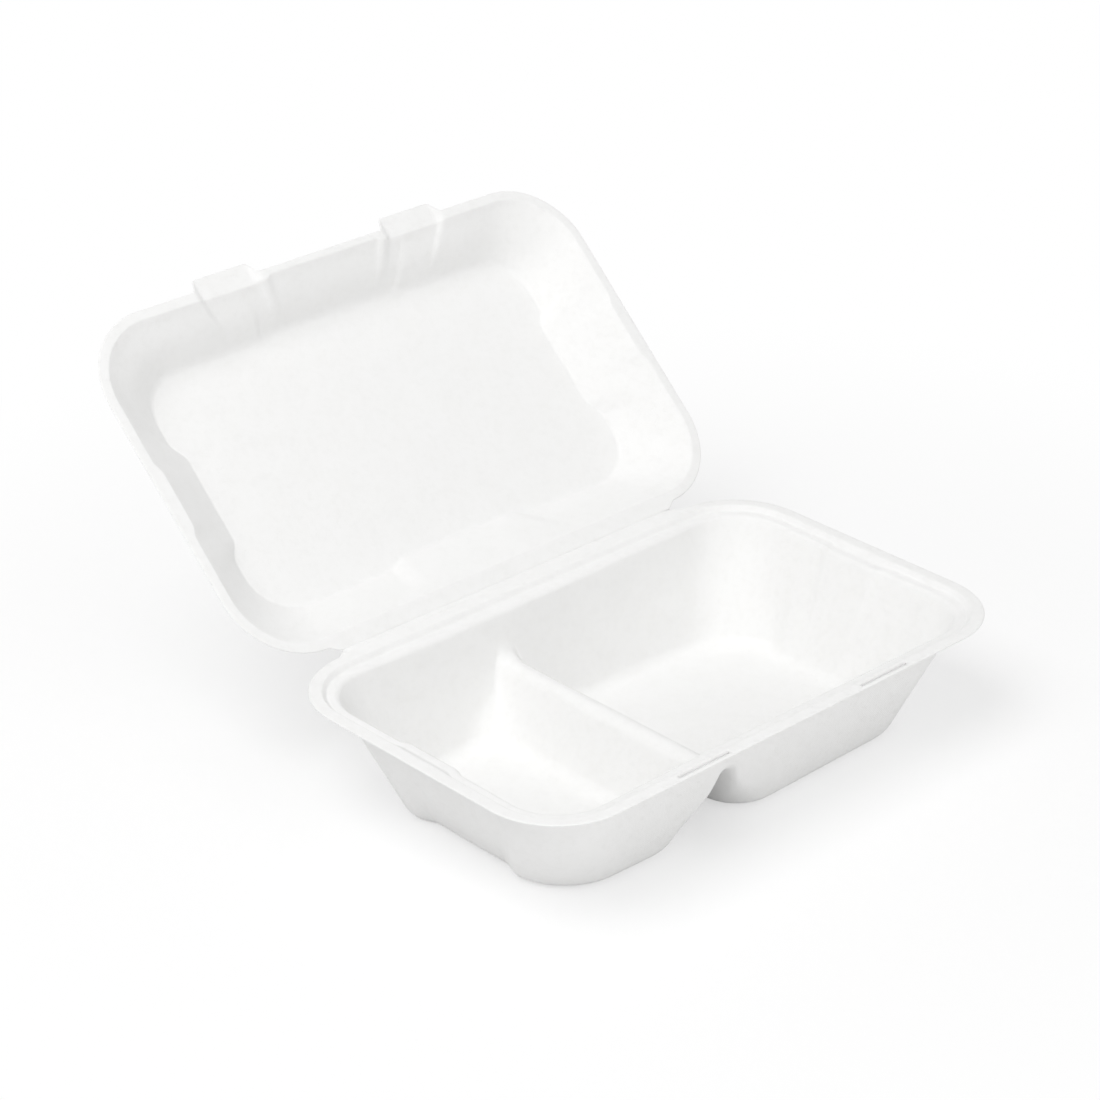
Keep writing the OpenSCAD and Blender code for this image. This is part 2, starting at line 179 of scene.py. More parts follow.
class InsetSizes(PropertyGroup):
    """Insets that stiffen the walls."""

    end_rim: length("End inset, rim", 1.6, "Inset of both halves' end walls at the rim")
    end_foot: length("End inset, floor", 3.2, "Inset of the tray's end walls at the floor")
    end_panel: length("End inset, panel", 4, "Inset of the lid's end walls at the panel")
    rim_w: length("Half width, rim", 11, "Half width of the end insets at the rim")
    low_w: length("Half width, low", 16, "Half width of the end insets at floor and panel")
    ramp: length("Ramp", 5, "Width of each inset's slanted side at the rim")
    low_ramp: length("Low ramp", 9, "Width of each inset's slanted side at floor and panel")
    hinge: length("Hinge inset", 3, "Inset of the lid's hinge-side wall at the panel")
    hinge_w: length("Hinge half width", 26, "Half width of the hinge-side inset")
    bulge: length("Front bulge", 1.5, "Bulge of the lid's front wall between the lock tabs")
    bulge_w: length("Bulge half width", 26, "Half width of that bulge at the rim")


class LockSizes(PropertyGroup):
    """Lock tabs, their slots and the fold strip."""

    tab_x: length("Tab place", 45, "Distance of each lock tab from the box's middle")
    tab_w: length("Tab width", 27, "Width of a lock tab over its root")
    tab_out: length("Tab reach", 5.2, "Reach of a tab past the flange")
    tab_step: length("Tab step", 1.6, "Step of the tab's pocket below the flange")
    tab_ramp: length("Tab ramp", 3.6, "Slant of a tab's sides")
    slot_w: length("Slot width", 1.2, "Width of each slot in the tray's front flange")
    slot_in: length("Slot inset", 2.2, "Distance of the slot's middle from the flange edge")
    slot_short: length("Slot shortfall", 3, "How much shorter a slot is than its tab")
    fold_w: length("Fold width", 2.6, "Width of the fold strip on each side of the crease")
    fold_half: length("Fold half length", 82, "Half length of the fold strip")
    notch: length("Fold notch", 4.5, "Size of the concave notch at each end of the strip")


class PulpLook(PropertyGroup):
    """Finish of the pressed pulp."""

    light: tint("Pulp", (0.905, 0.904, 0.898), "Colour of the bleached pulp")
    dark: tint("Fibre", (0.82, 0.815, 0.795), "Colour of the denser fibres and clouds")
    rough: share("Roughness", 0.82, "Roughness of the dry pulp")
    cloud: share("Clouding", 0.09, "Strength of the soft clouds where fibres lie denser")
    fibre: share("Fibres", 0.24, "Strength of the single fibres in the surface")
    grain: length("Grain height", 0.05, "Height of the fine grain of the inner face")
    screen: length("Screen height", 0.05, "Height of the forming screen's print on the outer face")
    pitch: length("Screen pitch", 0.8, "Spacing of the forming screen's wires")


class StageLook(PropertyGroup):
    """Camera, lamps and floor."""

    azimuth: FloatProperty(
        name="Azimuth", description="Camera's direction", default=radians(-43.3), subtype="ANGLE"
    )
    elevation: FloatProperty(
        name="Elevation", description="Camera's elevation", default=radians(27.14), subtype="ANGLE"
    )
    reach: FloatProperty(
        name="Distance", description="Camera's distance from its aim", default=1.1623, min=0.1, unit="LENGTH"
    )
    aim: FloatVectorProperty(
        name="Aim",
        description="Point in the middle of the picture",
        default=(-0.01605, 0.03665, 0.07658),
        size=3,
        subtype="XYZ",
        unit="LENGTH",
    )
    lens: FloatProperty(
        name="Lens", description="Focal length on a 36 mm sensor, in millimetres", default=107.2, min=10.0
    )
    ambient: FloatProperty(
        name="Ambient", description="Strength of the white surround", default=0.544, min=0.0
    )
    key: FloatProperty(
        name="Key", description="Power of the lamp from the upper left, in watts", default=18.5, min=0.0
    )
    fill: FloatProperty(
        name="Fill", description="Power of the lamp from the front, in watts", default=7.0, min=0.0
    )
    floor: share("Floor", 0.92, "Brightness of the floor as the box sees it")
    fade: share("Fade", 0.55, "Share of plain white in the floor near the box, which thins its shadow")


GROUPS = {
    "pulp_rim": RimSizes,
    "pulp_tray": TraySizes,
    "pulp_divider": DividerSizes,
    "pulp_lid": LidSizes,
    "pulp_inset": InsetSizes,
    "pulp_lock": LockSizes,
    "pulp_look": PulpLook,
    "pulp_stage": StageLook,
}


def ease(t):
    """Smooth step: 3t^2 - 2t^3 between 0 and 1, level outside."""
    c = np.clip(t, 0.0, 1.0)
    return c * c * (3.0 - 2.0 * c)


def swell(q, half, ramp):
    """1 within half of the middle, falling by a smooth step to 0 over the ramp."""
    return 1.0 - ease((np.abs(q) - half) / ramp)


def wall_slope(run, drop, both):
    """Slope of the wall that joins two level arcs, their radii adding up to both, over a run and a drop."""
    return np.arccos(-both / np.hypot(drop - both, run)) - np.arctan2(run, drop - both)


def wall_run(drop, both, slope):
    """Run of such a wall section whose slope is given."""
    return both * np.sin(slope) + (drop - both * (1.0 - np.cos(slope))) / np.tan(slope)


def section(run, drop, r_top, r_low, n_top, n_wall, n_low):
    """S-shaped wall section for every station, as arrays (run, drop, slope) of rows by stations.

    An arc of radius r_top leaves the level, a straight wall follows and an arc of radius r_low comes back
    to the level. The wall's slope is the one whose tangents close the given run and drop.
    """
    slope = wall_slope(run, drop, r_top + r_low)
    a = slope * np.linspace(0.0, 1.0, n_top + 1)[:, None]
    b = slope * np.linspace(1.0, 0.0, n_low + 1)[:, None]
    top = np.stack([r_top * np.sin(a), r_top * (1.0 - np.cos(a)), a])
    low = np.stack([run - r_low * np.sin(b), drop - r_low * (1.0 - np.cos(b)), b])
    t = np.linspace(0.0, 1.0, n_wall + 1)[1:-1, None]
    wall = top[:, -1:] * (1.0 - t) + low[:, :1] * t
    return np.concatenate([top, wall, low], axis=1)


def along(size, r, f):
    """Point on a side at fraction f between its two mid-corners: arc, straight and arc by length."""
    arc = r * pi / 4
    straight = size - 2 * r
    s = f * (2 * arc + straight)
    first = np.maximum(pi / 4 - s / r, 0.0)
    last = np.maximum((s - arc - straight) / r, 0.0)
    u = np.clip(s - arc, 0.0, straight) + r - size / 2 - r * np.sin(first) + r * np.sin(last)
    inset = r * (1.0 - np.cos(first)) + r * (1.0 - np.cos(last))
    return u, inset


def rounded(box, r, fractions):
    """Points of a rounded rectangle [x0, x1, y0, y1]: sides front, right, back, left at their fractions."""
    x0, x1, y0, y1 = box
    mid_x = (x0 + x1) / 2
    mid_y = (y0 + y1) / 2
    front, front_in = along(x1 - x0, r, fractions[0])
    right, right_in = along(y1 - y0, r, fractions[1])
    back, back_in = along(x1 - x0, r, fractions[2])
    left, left_in = along(y1 - y0, r, fractions[3])
    x = np.concatenate([mid_x + front, x1 - right_in, mid_x - back, x0 + left_in])
    y = np.concatenate([y0 + front_in, mid_y + right, y1 - back_in, mid_y - left])
    return np.stack([x, y], axis=1)


def shrunk(box, in_x, in_y):
    """The rectangle box with its ends moved in by in_x, its front and back by in_y."""
    return [box[0] + in_x, box[1] - in_x, box[2] + in_y, box[3] - in_y]


def raised(plan, z):
    """Plan points with a height."""
    return np.column_stack([plan, np.broadcast_to(z, len(plan))])


def wall_rows(mouth, foot, r_top, r_low, counts, belly=0.0):
    """Rows of points down a drafted wall: the section carried from each mouth point to its foot point.

    The belly moves the section along its own normal by a squared sine of the way across the run.
    """
    go = foot[:, :2] - mouth[:, :2]
    run = np.linalg.norm(go, axis=1)
    go = go / run[:, None]
    out, down, slope = section(run, mouth[:, 2] - foot[:, 2], r_top, r_low, *counts)
    bulge = belly * np.sin(pi * out / run) ** 2
    out = out + bulge * np.sin(slope)
    down = down - bulge * np.cos(slope)
    plan = mouth[None, :, :2] + out[:, :, None] * go[None]
    return np.concatenate([plan, (mouth[None, :, 2] - down)[:, :, None]], axis=2)


def floor_rows(foot):
    """Rows that shrink from the foot line to a small ring round the floor's middle."""
    middle = (foot.min(axis=0) + foot.max(axis=0)) / 2
    t = np.linspace(0.0, LAST_RING, FLOOR_RINGS + 1)[1:, None, None]
    return foot[None] * (1.0 - t) + middle * t


def band_normals(rows, first, last):
    """Upward unit normals of a closed band of rows by central differences; the end rows are given."""
    across = np.roll(rows, -1, axis=1) - np.roll(rows, 1, axis=1)
    down = np.empty_like(rows)
    down[1:-1] = rows[2:] - rows[:-2]
    down[0] = rows[1] - rows[0]
    down[-1] = rows[-1] - rows[-2]
    normals = np.cross(across, down)
    normals *= np.where(normals[..., 2:] < 0.0, -1.0, 1.0)
    normals /= np.linalg.norm(normals, axis=2, keepdims=True)
    normals[0] = first
    normals[-1] = last
    return normals


def numbers(start, rows, count):
    """Point numbers of a band of rows that starts at a given number."""
    return start + np.arange(rows * count).reshape(rows, count)


def band_quads(ids):
    """Quads between neighbouring rows of a closed band, facing up where rows run inwards."""
    nxt = np.roll(ids, -1, axis=1)
    return np.stack([ids[:-1], nxt[:-1], nxt[1:], ids[1:]], axis=2).reshape(-1, 4)


def sheet_object(name, upper, normals, quads, caps, rim, holes, thick, place):
    """Closed sheet: the upper skin, a lower skin at the thickness below it, and a half-round cut edge.

    The lower skin is upper minus thick times normal. The edge carries a half circle of diameter thick
    along the rim, outwards in plan, and each hole's loop gets a plain wall between the skins. Material 0
    is the inner face, material 1 the outer face and the edges.
    """
    count = len(upper)
    lower = upper - thick * normals
    edge_up = upper[rim]
    edge_low = lower[rim]
    centre = (edge_up + edge_low) / 2
    tangent = np.roll(edge_up, -1, axis=0) - np.roll(edge_up, 1, axis=0)
    out = np.cross(tangent, normals[rim])
    out /= np.linalg.norm(out, axis=1, keepdims=True)
    turn = np.linspace(0.0, pi, EDGE_STEPS + 1)[1:-1, None, None]
    edge = centre[None] + np.cos(turn) * (edge_up - centre)[None] + np.sin(turn) * out[None] * thick / 2
    points = np.concatenate([upper, lower, edge.reshape(-1, 3)])
    between = numbers(2 * count, EDGE_STEPS - 1, len(rim))[::-1]
    edge_ids = np.concatenate([rim[None] + count, between, rim[None]])
    hole_quads = [np.stack([h, np.roll(h, -1), np.roll(h, -1) + count, h + count], axis=1) for h in holes]
    edge_quads = np.concatenate([band_quads(edge_ids), *hole_quads])
    faces = [quad.tolist() for quad in (quads, quads[:, ::-1] + count, edge_quads)]
    caps_low = [(cap[::-1] + count).tolist() for cap in caps]
    caps_up = [cap.tolist() for cap in caps]
    every = faces[0] + caps_up + faces[1] + caps_low + faces[2]
    inner = len(faces[0]) + len(caps_up)
    mesh = bpy.data.meshes.new(name)
    mesh.from_pydata(place(points), [], every)
    slots = np.ones(len(every), dtype=np.int32)
    slots[:inner] = 0
    mesh.polygons.foreach_set("material_index", slots)
    mesh.polygons.foreach_set("use_smooth", np.ones(len(every), dtype=bool))
    mesh.update()
    if mesh.validate():
        raise RuntimeError(name + " has broken faces")
    piece = bpy.data.objects.new(name, mesh)
    bpy.context.collection.objects.link(piece)
    return piece


def dried(points, height):
    """Slow drying dips: a sum of sines of the plan, less its highest value, added to the points' height."""
    x = points[:, 0] / WAVE_SPAN
    y = points[:, 1] / WAVE_SPAN
    wave = np.sin(2.1 * x + 0.6) * np.cos(1.7 * y - 0.4) + 0.5 * np.sin(4.3 * x - 2.9 * y + 1.1)
    moved = points.copy()
    moved[:, 2] += height * (wave - WAVE_TOP)
    return moved


class Signal:
    """A shader socket. Arithmetic on it adds Math nodes, and add() puts any other node into its tree."""

    def __init__(self, tree, socket=None):
        self.tree = tree
        self.socket = socket

    def add(self, kind, settings=None, sockets=None, out=0):
        """New node of a type, with its settings, then the values or links of its sockets."""
        node = self.tree.nodes.new(kind)
        for name, value in (settings or {}).items():
            setattr(node, name, value)
        for name, value in (sockets or {}).items():
            if isinstance(value, Signal):
                self.tree.links.new(value.socket, node.inputs[name])
            else:
                node.inputs[name].default_value = value
        return Signal(self.tree, node.outputs[out]) if len(node.outputs) else node

    def maths(self, operation, first, second=0.0):
        """Math node on two values."""
        return self.add("ShaderNodeMath", {"operation": operation}, {0: first, 1: second})

    def __add__(self, other):
        return self.maths("ADD", self, other)

    __radd__ = __add__

    def __mul__(self, other):
        return self.maths("MULTIPLY", self, other)

    __rmul__ = __mul__

    def __sub__(self, other):
        return self.maths("SUBTRACT", self, other)

    def __rsub__(self, other):
        return self.maths("SUBTRACT", other, self)

    def __pow__(self, power):
        return self.maths("POWER", self, power)

    def split(self):
        """The three components of a vector."""
        first = self.add("ShaderNodeSeparateXYZ", None, {0: self})
        return [Signal(self.tree, socket) for socket in first.socket.node.outputs]

    def wave(self, pitch):
        """Sine of the value with the given wavelength."""
        return self.maths("SINE", self * (2.0 * pi / pitch))

    def between(self, low, high):
        """Smooth step of the value from low to high."""
        return self.add(
            "ShaderNodeMapRange",
            {"interpolation_type": "SMOOTHSTEP"},
            {"Value": self, "From Min": low, "From Max": high},
        )


def blank_material(name):
    """New node material, its signal and its shader node."""
    material = bpy.data.materials.new(name)
    material.use_nodes = True
    shader = material.node_tree.nodes["Principled BSDF"]
    return material, Signal(material.node_tree), shader


def noise(signal, where, scale, detail=2.0, rough=0.5):
    """Fractal noise of a position, from 0 to 1."""
    return signal.add(
        "ShaderNodeTexNoise",
        {"noise_dimensions": "3D"},
        {"Vector": where, "Scale": scale, "Detail": detail, "Roughness": rough},
    )


def fibres(signal, where, turn, long, thin):
    """Thin threads along one turned axis: noise on a stretched position, kept near its middle value."""
    stretched = signal.add(
        "ShaderNodeMapping",
        {"vector_type": "TEXTURE"},
        {"Vector": where, "Rotation": turn, "Scale": (long, thin, thin)},
    )
    field = noise(signal, stretched, 1.0, 1.0, 0.4)
    ridge = signal.maths("ABSOLUTE", field - 0.5)
    return 1.0 - ridge.between(0.0, FIBRE_WIDTH)


def pulp_material(name, look, screened):
    """Pressed bleached pulp: soft clouds, crossing fibres, fine grain and, outside, the screen's print."""
    material, signal, shader = blank_material(name)
    where = signal.add("ShaderNodeTexCoord", out=3)
    clouds = noise(signal, where, CLOUD_SCALE, 3.0).between(0.35, 0.70)
    patch = noise(signal, where, PATCH_SCALE)
    threads, crossing, slanted = [fibres(signal, where, *layer) for layer in FIBRE_LAYERS]
    web = signal.maths("MAXIMUM", signal.maths("MAXIMUM", threads, crossing), slanted)
    sparse = web * patch.between(0.42, 0.68)
    shade = clouds * look.cloud + sparse * look.fibre
    colour = signal.add(
        "ShaderNodeMix",
        {"data_type": "RGBA"},
        {0: shade, 6: (*look.light, 1.0), 7: (*look.dark, 1.0)},
        out=2,
    )
    grain = noise(signal, where, GRAIN_SCALE, 2.0, 0.6)
    height = (grain - 0.5) * look.grain + sparse * (look.grain * 0.5) + (patch - 0.5) * look.grain
    if screened:
        x, y, z = where.split()
        facing = signal.add("ShaderNodeTexCoord", out=1)
        face_x, face_y, face_z = [part**4.0 for part in facing.split()]
        wires = (
            face_x * (y.wave(look.pitch) * z.wave(look.pitch))
            + face_y * (x.wave(look.pitch) * z.wave(look.pitch))
            + face_z * (x.wave(look.pitch) * y.wave(look.pitch))
        )
        height = height + wires * (look.screen * 0.5)
    bump = signal.add("ShaderNodeBump", None, {"Strength": BUMP, "Distance": 1.0, "Height": height})
    roughness = (grain - 0.5) * ROUGH_SPREAD + look.rough
    links = material.node_tree.links
    links.new(colour.socket, shader.inputs["Base Color"])
    links.new(roughness.socket, shader.inputs["Roughness"])
    links.new(bump.socket, shader.inputs["Normal"])
    for socket, value in MATT_FINISH.items():
        shader.inputs[socket].default_value = value
    return material


def dress(piece, look):
    """Puts the inner and the outer pulp finish on a sheet."""
    for name, screened in (("pulp_inner_face", False), ("pulp_outer_face", True)):
        material = bpy.data.materials.get(name) or pulp_material(name, look, screened)
        piece.data.materials.append(material)


def rim_box(rim):
    """Plan rectangle of the tray's flange edge."""
    return [-rim.size_x / 2, rim.size_x / 2, -rim.size_y / 2, rim.size_y / 2]


def side_fraction(size, r, q):
    """Fraction of a side, from mid-corner to mid-corner, at the place q from its middle."""
    return (r * pi / 4 + size / 2 - r + q) / (size - 2 * r + r * pi / 2)


def steps(start, stop, count):
    """Evenly spaced fractions from start up to, but without, stop."""
    return start + (stop - start) * np.arange(count) / count


class PULP_OT_tray(Operator):
    """Builds the tray: flange, step, ledge, two compartments and the low hollow divider between them"""

    bl_idname = "pulp.tray"
    bl_label = "Tray"

    SMALL = 60
    LARGE = 92
    END = 84
    ACROSS = 30
    WALL = (8, 14, 8)
    FLANK = (8, 8, 8)
    STEP = (6, 3, 6)
    SLOT_ROW = 2

    def columns(self, tray, divider, floor):
        """Divider's cross-section from floor to floor: place, level, slope and fillet to the walls.

        One flank is the wall section from the crest down to the floor, the other is its mirror image.
        """
        run = np.array([divider.foot])
        drop = np.array([-floor - divider.drop])
        out, down, slope = section(run, drop, divider.crest_r, tray.foot_r, *self.FLANK)[:, :, 0]
        x = divider.at_x + np.concatenate([-out[::-1], out[1:]])
        level = -divider.drop - np.concatenate([down[::-1], down[1:]])
        lean = np.concatenate([-slope[::-1], slope[1:]])
        fillet = tray.foot_r + (divider.flare_r - tray.foot_r) * ease((level - floor) / tray.foot_r)
        return x, level, lean, fillet

    def set_stations(self, rim, tray, x):
        """Stations round the tray: fractions of the mouth line and of the floor line, side and column."""
        d = tray.flat + tray.step_run + tray.ledge
        mouth = side_fraction(rim.size_x - 2 * d, rim.corner - d, x)
        floor = side_fraction(rim.size_x - 2 * tray.foot_in_x, tray.foot_corner, x)
        end = steps(0.0, 1.0, self.END)
        self.mouth_at = []
        self.floor_at = []
        for row, kept in ((mouth, self.mouth_at), (floor, self.floor_at)):
            front = np.concatenate([steps(0.0, row[0], self.SMALL), row, steps(row[-1], 1.0, self.LARGE)[1:]])
            kept.extend([front, end, np.concatenate([[0.0], 1.0 - front[:0:-1]]), end])
        front_n = len(self.mouth_at[0])
        self.side = np.repeat(np.arange(4), [len(f) for f in self.mouth_at])
        self.front_column = self.SMALL + np.arange(len(x))
        self.back_column = 2 * front_n + self.END - self.front_column

    def rim_row(self, d, z, seat, edge):
        """Flange row at distance d inside the edge, with the end insets and the fold strip."""
        scene = bpy.context.scene
        rim = scene.pulp_rim
        inset = scene.pulp_inset
        lock = scene.pulp_lock
        plan = rounded(shrunk(rim_box(rim), d, d), rim.corner - d, self.mouth_at)
        push = (self.side % 2 == 1) * seat * inset.end_rim * swell(plan[:, 1], inset.rim_w, inset.ramp)
        strip = (lock.fold_w - rim.gap / 4) * swell(plan[:, 0], lock.fold_half, lock.notch)
        fold = (self.side == 2) * edge * strip
        plan = plan + np.stack([-np.sign(plan[:, 0]) * push, fold], axis=1)
        return raised(plan, z)

    def rim_rows(self, tray, lock):
        """Rows from the flange edge over the two lines of the slots and down the step to the ledge."""
        half = tray.sheet / 2
        slot = lock.slot_in + lock.slot_w * np.array([-0.5, 0.5])
        flats = [half, (half + slot[0]) / 2, slot[0], slot[1], (slot[1] + tray.flat) / 2]
        out, down, _ = section(
            np.array([tray.step_run]), np.array([tray.step_h]), tray.step_r, tray.step_r, *self.STEP
        )[:, :, 0]
        ledge = tray.flat + tray.step_run + tray.ledge * np.array([0.5, 1.0])
        d = np.concatenate([flats, tray.flat + out, ledge])
        z = -np.concatenate([np.zeros(len(flats)), down, np.full(len(ledge), tray.step_h)])
        seat = ease((d - tray.flat) / tray.step_run)
        edge = 1.0 - ease(d / tray.flat)
        return np.stack([self.rim_row(*values) for values in zip(d, z, seat, edge)])

    def foot_line(self, mouth, floor, columns):
        """Foot of the walls, its fillets and normals: on the floors, or on the divider between them."""
        scene = bpy.context.scene
        rim = scene.pulp_rim
        tray = scene.pulp_tray
        inset = scene.pulp_inset
        x, level, lean, fillet = columns
        floor_box = shrunk(rim_box(rim), tray.foot_in_x, tray.foot_in_y)
        plan = rounded(floor_box, tray.foot_corner, self.floor_at)
        push = (self.side % 2 == 1) * inset.end_foot * swell(plan[:, 1], inset.low_w, inset.low_ramp)
        plan[:, 0] -= np.sign(plan[:, 0]) * push
        foot = raised(plan, floor)
        mouth_in = tray.flat + tray.step_run + tray.ledge
        slope = wall_slope(tray.foot_in_y - mouth_in, -floor - tray.step_h, tray.mouth_r + tray.foot_r)
        reach = wall_run(-tray.step_h - level, tray.mouth_r + fillet, slope)
        fillets = np.full(len(foot), tray.foot_r)
        normals = np.tile(UP, (len(foot), 1))
        for at, way in ((self.front_column, 1.0), (self.back_column, -1.0)):
            foot[at] = np.column_stack([x, mouth[at, 1] + way * reach, level])
            fillets[at] = fillet
            normals[at] = np.column_stack([np.sin(lean), np.zeros(len(x)), np.cos(lean)])
        return foot, fillets, normals

    def corner_fill(self, rows, columns, corner):
        """Way in of the walls beside the divider: a quarter circle in plan that ends at the crest."""
        x, level = columns[:2]
        top = len(x) // 2
        z = rows[..., 2]
        flank = np.interp(z, level[:top + 1], x[top] - x[:top + 1])
        r = np.maximum(corner * ease((level[top] - z) / (level[top] - level[0])), TINY)
        near = np.clip(1.0 - (np.abs(rows[..., 0] - x[top]) - flank) / r, 0.0, 1.0)
        return (self.side % 2 == 0) * np.sign(rows[..., 1]) * r * (1.0 - np.sqrt(1.0 - near**2))

    def slot_loops(self, row, ids, rim, lock):
        """First and last station of each lock slot, and the loop of points round it."""
        half = (lock.tab_w - lock.slot_short) / 2
        upper, lower = ids[self.SLOT_ROW:self.SLOT_ROW + 2]
        found = []
        for middle in (-lock.tab_x, lock.tab_x):
            place = np.where(self.side == 0, row[:, 0], rim.size_x)
            first = np.argmin(np.abs(place - middle + half))
            last = np.argmin(np.abs(place - middle - half))
            loop = np.concatenate([upper[first:last + 1], lower[first:last + 1][::-1]])
            found.append((first, last, loop))
        return found

    def execute(self, context):
        scene = context.scene
        rim = scene.pulp_rim
        tray = scene.pulp_tray
        lock = scene.pulp_lock
        rise = FOLD_Z - rim.gap / 2
        floor = tray.sheet - rise
        columns = self.columns(tray, scene.pulp_divider, floor)
        self.set_stations(rim, tray, columns[0])
        count = len(self.side)

        rim_rows = self.rim_rows(tray, lock)
        foot, fillets, foot_normals = self.foot_line(rim_rows[-1], floor, columns)
        walls = wall_rows(rim_rows[-1], foot, tray.mouth_r, fillets, self.WALL)
        walls[..., 1] -= self.corner_fill(walls, columns, scene.pulp_divider.corner)
        foot = walls[-1]
        rows = np.concatenate([rim_rows, walls[1:]])
        ids = numbers(0, len(rows), count)
        quads = band_quads(ids)
        slots = self.slot_loops(rim_rows[self.SLOT_ROW], ids, rim, lock)
        spans = [np.arange(first, last) for first, last, _ in slots]
        open_quads = self.SLOT_ROW * count + np.concatenate(spans)
        points = [rows.reshape(-1, 3)]
        normals = [band_normals(rows, UP, foot_normals).reshape(-1, 3)]
        faces = [np.delete(quads, open_quads, axis=0)]
        start = ids.size

        t = np.linspace(0.0, 1.0, self.ACROSS + 1)[None, 1:-1, None]
        front = foot[self.front_column][:, None]
        back = foot[self.back_column][:, None]
        ridge = front * (1.0 - t) + back * t
        inside = numbers(start, *ridge.shape[:2])
        grid = np.column_stack([ids[-1][self.front_column], inside, ids[-1][self.back_column]])
        points.append(ridge.reshape(-1, 3))
        normals.append(np.repeat(foot_normals[self.front_column], ridge.shape[1], axis=0))
        cells = [grid[:-1, :-1], grid[1:, :-1], grid[1:, 1:], grid[:-1, 1:]]
        faces.append(np.stack(cells, axis=2).reshape(-1, 4))
        start += inside.size

        last = ids[-1]
        small = np.concatenate([last[:self.front_column[0] + 1], inside[0], last[self.back_column[0]:]])
        large = np.concatenate([last[self.front_column[-1]:self.back_column[-1] + 1], inside[-1][::-1]])
        caps = []
        for ring in (small, large):
            floor_points = floor_rows(np.concatenate(points)[ring])
            below = numbers(start, *floor_points.shape[:2])
            points.append(floor_points.reshape(-1, 3))
            normals.append(np.tile(UP, (below.size, 1)))
            faces.append(band_quads(np.concatenate([ring[None], below])))
            caps.append(below[-1])
            start += below.size

        def place(every):
            fall = ease((every[:, 2] + rise) / rise)
            return dried(every, fall * rim.warp) + rise * UP

        piece = sheet_object(
            "pulp_tray",
            np.concatenate(points),
            np.concatenate(normals),
            np.concatenate(faces),
            caps,
            np.arange(count),
            [loop for _, _, loop in slots],
            tray.sheet,
            place,
        )
        dress(piece, scene.pulp_look)
        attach(piece, "tray")
        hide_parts("base_tray")
        return {"FINISHED"}


class PULP_OT_lid(Operator):
    """Builds the lid: flange with two stepped lock tabs, drafted walls with insets and a flat top panel"""

    bl_idname = "pulp.lid"
    bl_label = "Lid"

    LONG = 190
    END = 84
    FLANGE = 7
    WALL = (6, 16, 8)

    def push(self, plan, low):
        """Shift into the lid of the walls' points, at the rim or low at the panel."""
        scene = bpy.context.scene
        rim = scene.pulp_rim
        inset = scene.pulp_inset
        lock = scene.pulp_lock
        across = plan[:, 1] - lock.fold_w - rim.size_y / 2
        ends = inset.end_rim * swell(across, inset.rim_w, inset.ramp)
        hinge = 0.0 * across
        if low:
            ends = inset.end_panel * swell(across, inset.low_w, inset.low_ramp)
            hinge = inset.hinge * swell(plan[:, 0], inset.hinge_w, inset.low_ramp)
        wide = inset.bulge_w + (inset.ramp if low else 0.0)
        front = -inset.bulge * swell(plan[:, 0], wide, inset.ramp / 2)
        return np.select([self.side % 2 == 1, self.side == 0, self.side == 2], [ends, hinge, front])

    def pushed(self, plan, push):
        """Plan points moved in from their side by push."""
        inward = np.array([[0.0, 1.0], [-1.0, 0.0], [0.0, -1.0], [1.0, 0.0]])[self.side]
        return plan + inward * push[:, None]

    def flange_row(self, d, seat, edge):
        """Flange row at distance d inside the edge, with the tabs, their pockets and the fold strip."""
        scene = bpy.context.scene
        rim = scene.pulp_rim
        lock = scene.pulp_lock
        plan = rounded(shrunk(self.box, d, d), rim.corner - d, self.fractions)
        tab = swell(np.abs(plan[:, 0]) - lock.tab_x, lock.tab_w / 2 - lock.tab_ramp / 2, lock.tab_ramp)
        tab = np.where(self.side == 2, tab, 0.0)
        fold = np.where(self.side == 0, lock.fold_w - rim.gap / 4, 0.0)
        fold = fold * swell(plan[:, 0], lock.fold_half, lock.notch)
        plan = self.pushed(plan, seat * self.push(plan, False) - edge * (tab * lock.tab_out + fold))
        return raised(plan, -tab * lock.tab_step)

    def execute(self, context):
        scene = context.scene
        rim = scene.pulp_rim
        lid = scene.pulp_lid
        lock = scene.pulp_lock
        self.box = [-rim.size_x / 2, rim.size_x / 2, lock.fold_w, lock.fold_w + rim.size_y]
        self.fractions = [steps(0.0, 1.0, n) for n in (self.LONG, self.END, self.LONG, self.END)]
        self.side = np.repeat(np.arange(4), [len(f) for f in self.fractions])
        count = len(self.side)
        flange = [
            self.flange_row(d, float(ease(d / lid.flat)), 1.0 - float(ease(d / lid.flat)))
            for d in np.linspace(lid.sheet / 2, lid.flat, self.FLANGE)
        ]
        panel_box = shrunk(self.box, lid.panel_in_x, lid.panel_in_y)
        plan = rounded(panel_box, lid.panel_corner, self.fractions)
        foot = raised(self.pushed(plan, self.push(plan, True)), -lid.depth)
        ahead = ease(1.0 - (panel_box[3] - foot[:, 1]) / lid.panel_corner)
        fillets = lid.panel_r + (lid.front_r - lid.panel_r) * ahead
        walls = wall_rows(flange[-1], foot, lid.mouth_r, fillets, self.WALL, lid.belly * ahead)
        rows = np.concatenate([np.stack(flange[:-1]), walls, floor_rows(foot)])
        normals = band_normals(rows, UP, UP)
        ids = numbers(0, len(rows), count)
        lift = pi - OPENING

        def place(every):
            y = every[:, 1]
            z = every[:, 2] - rim.gap / 2
            back = FOLD_Y + y * cos(lift) - z * sin(lift)
            return np.column_stack([every[:, 0], back, FOLD_Z + y * sin(lift) + z * cos(lift)])

        piece = sheet_object(
            "pulp_lid",
            rows.reshape(-1, 3),
            normals.reshape(-1, 3),
            band_quads(ids),
            [ids[-1]],
            np.arange(count),
            [],
            lid.sheet,
            place,
        )
        dress(piece, scene.pulp_look)
        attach(piece, "cover")
        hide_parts("lid")
        return {"FINISHED"}


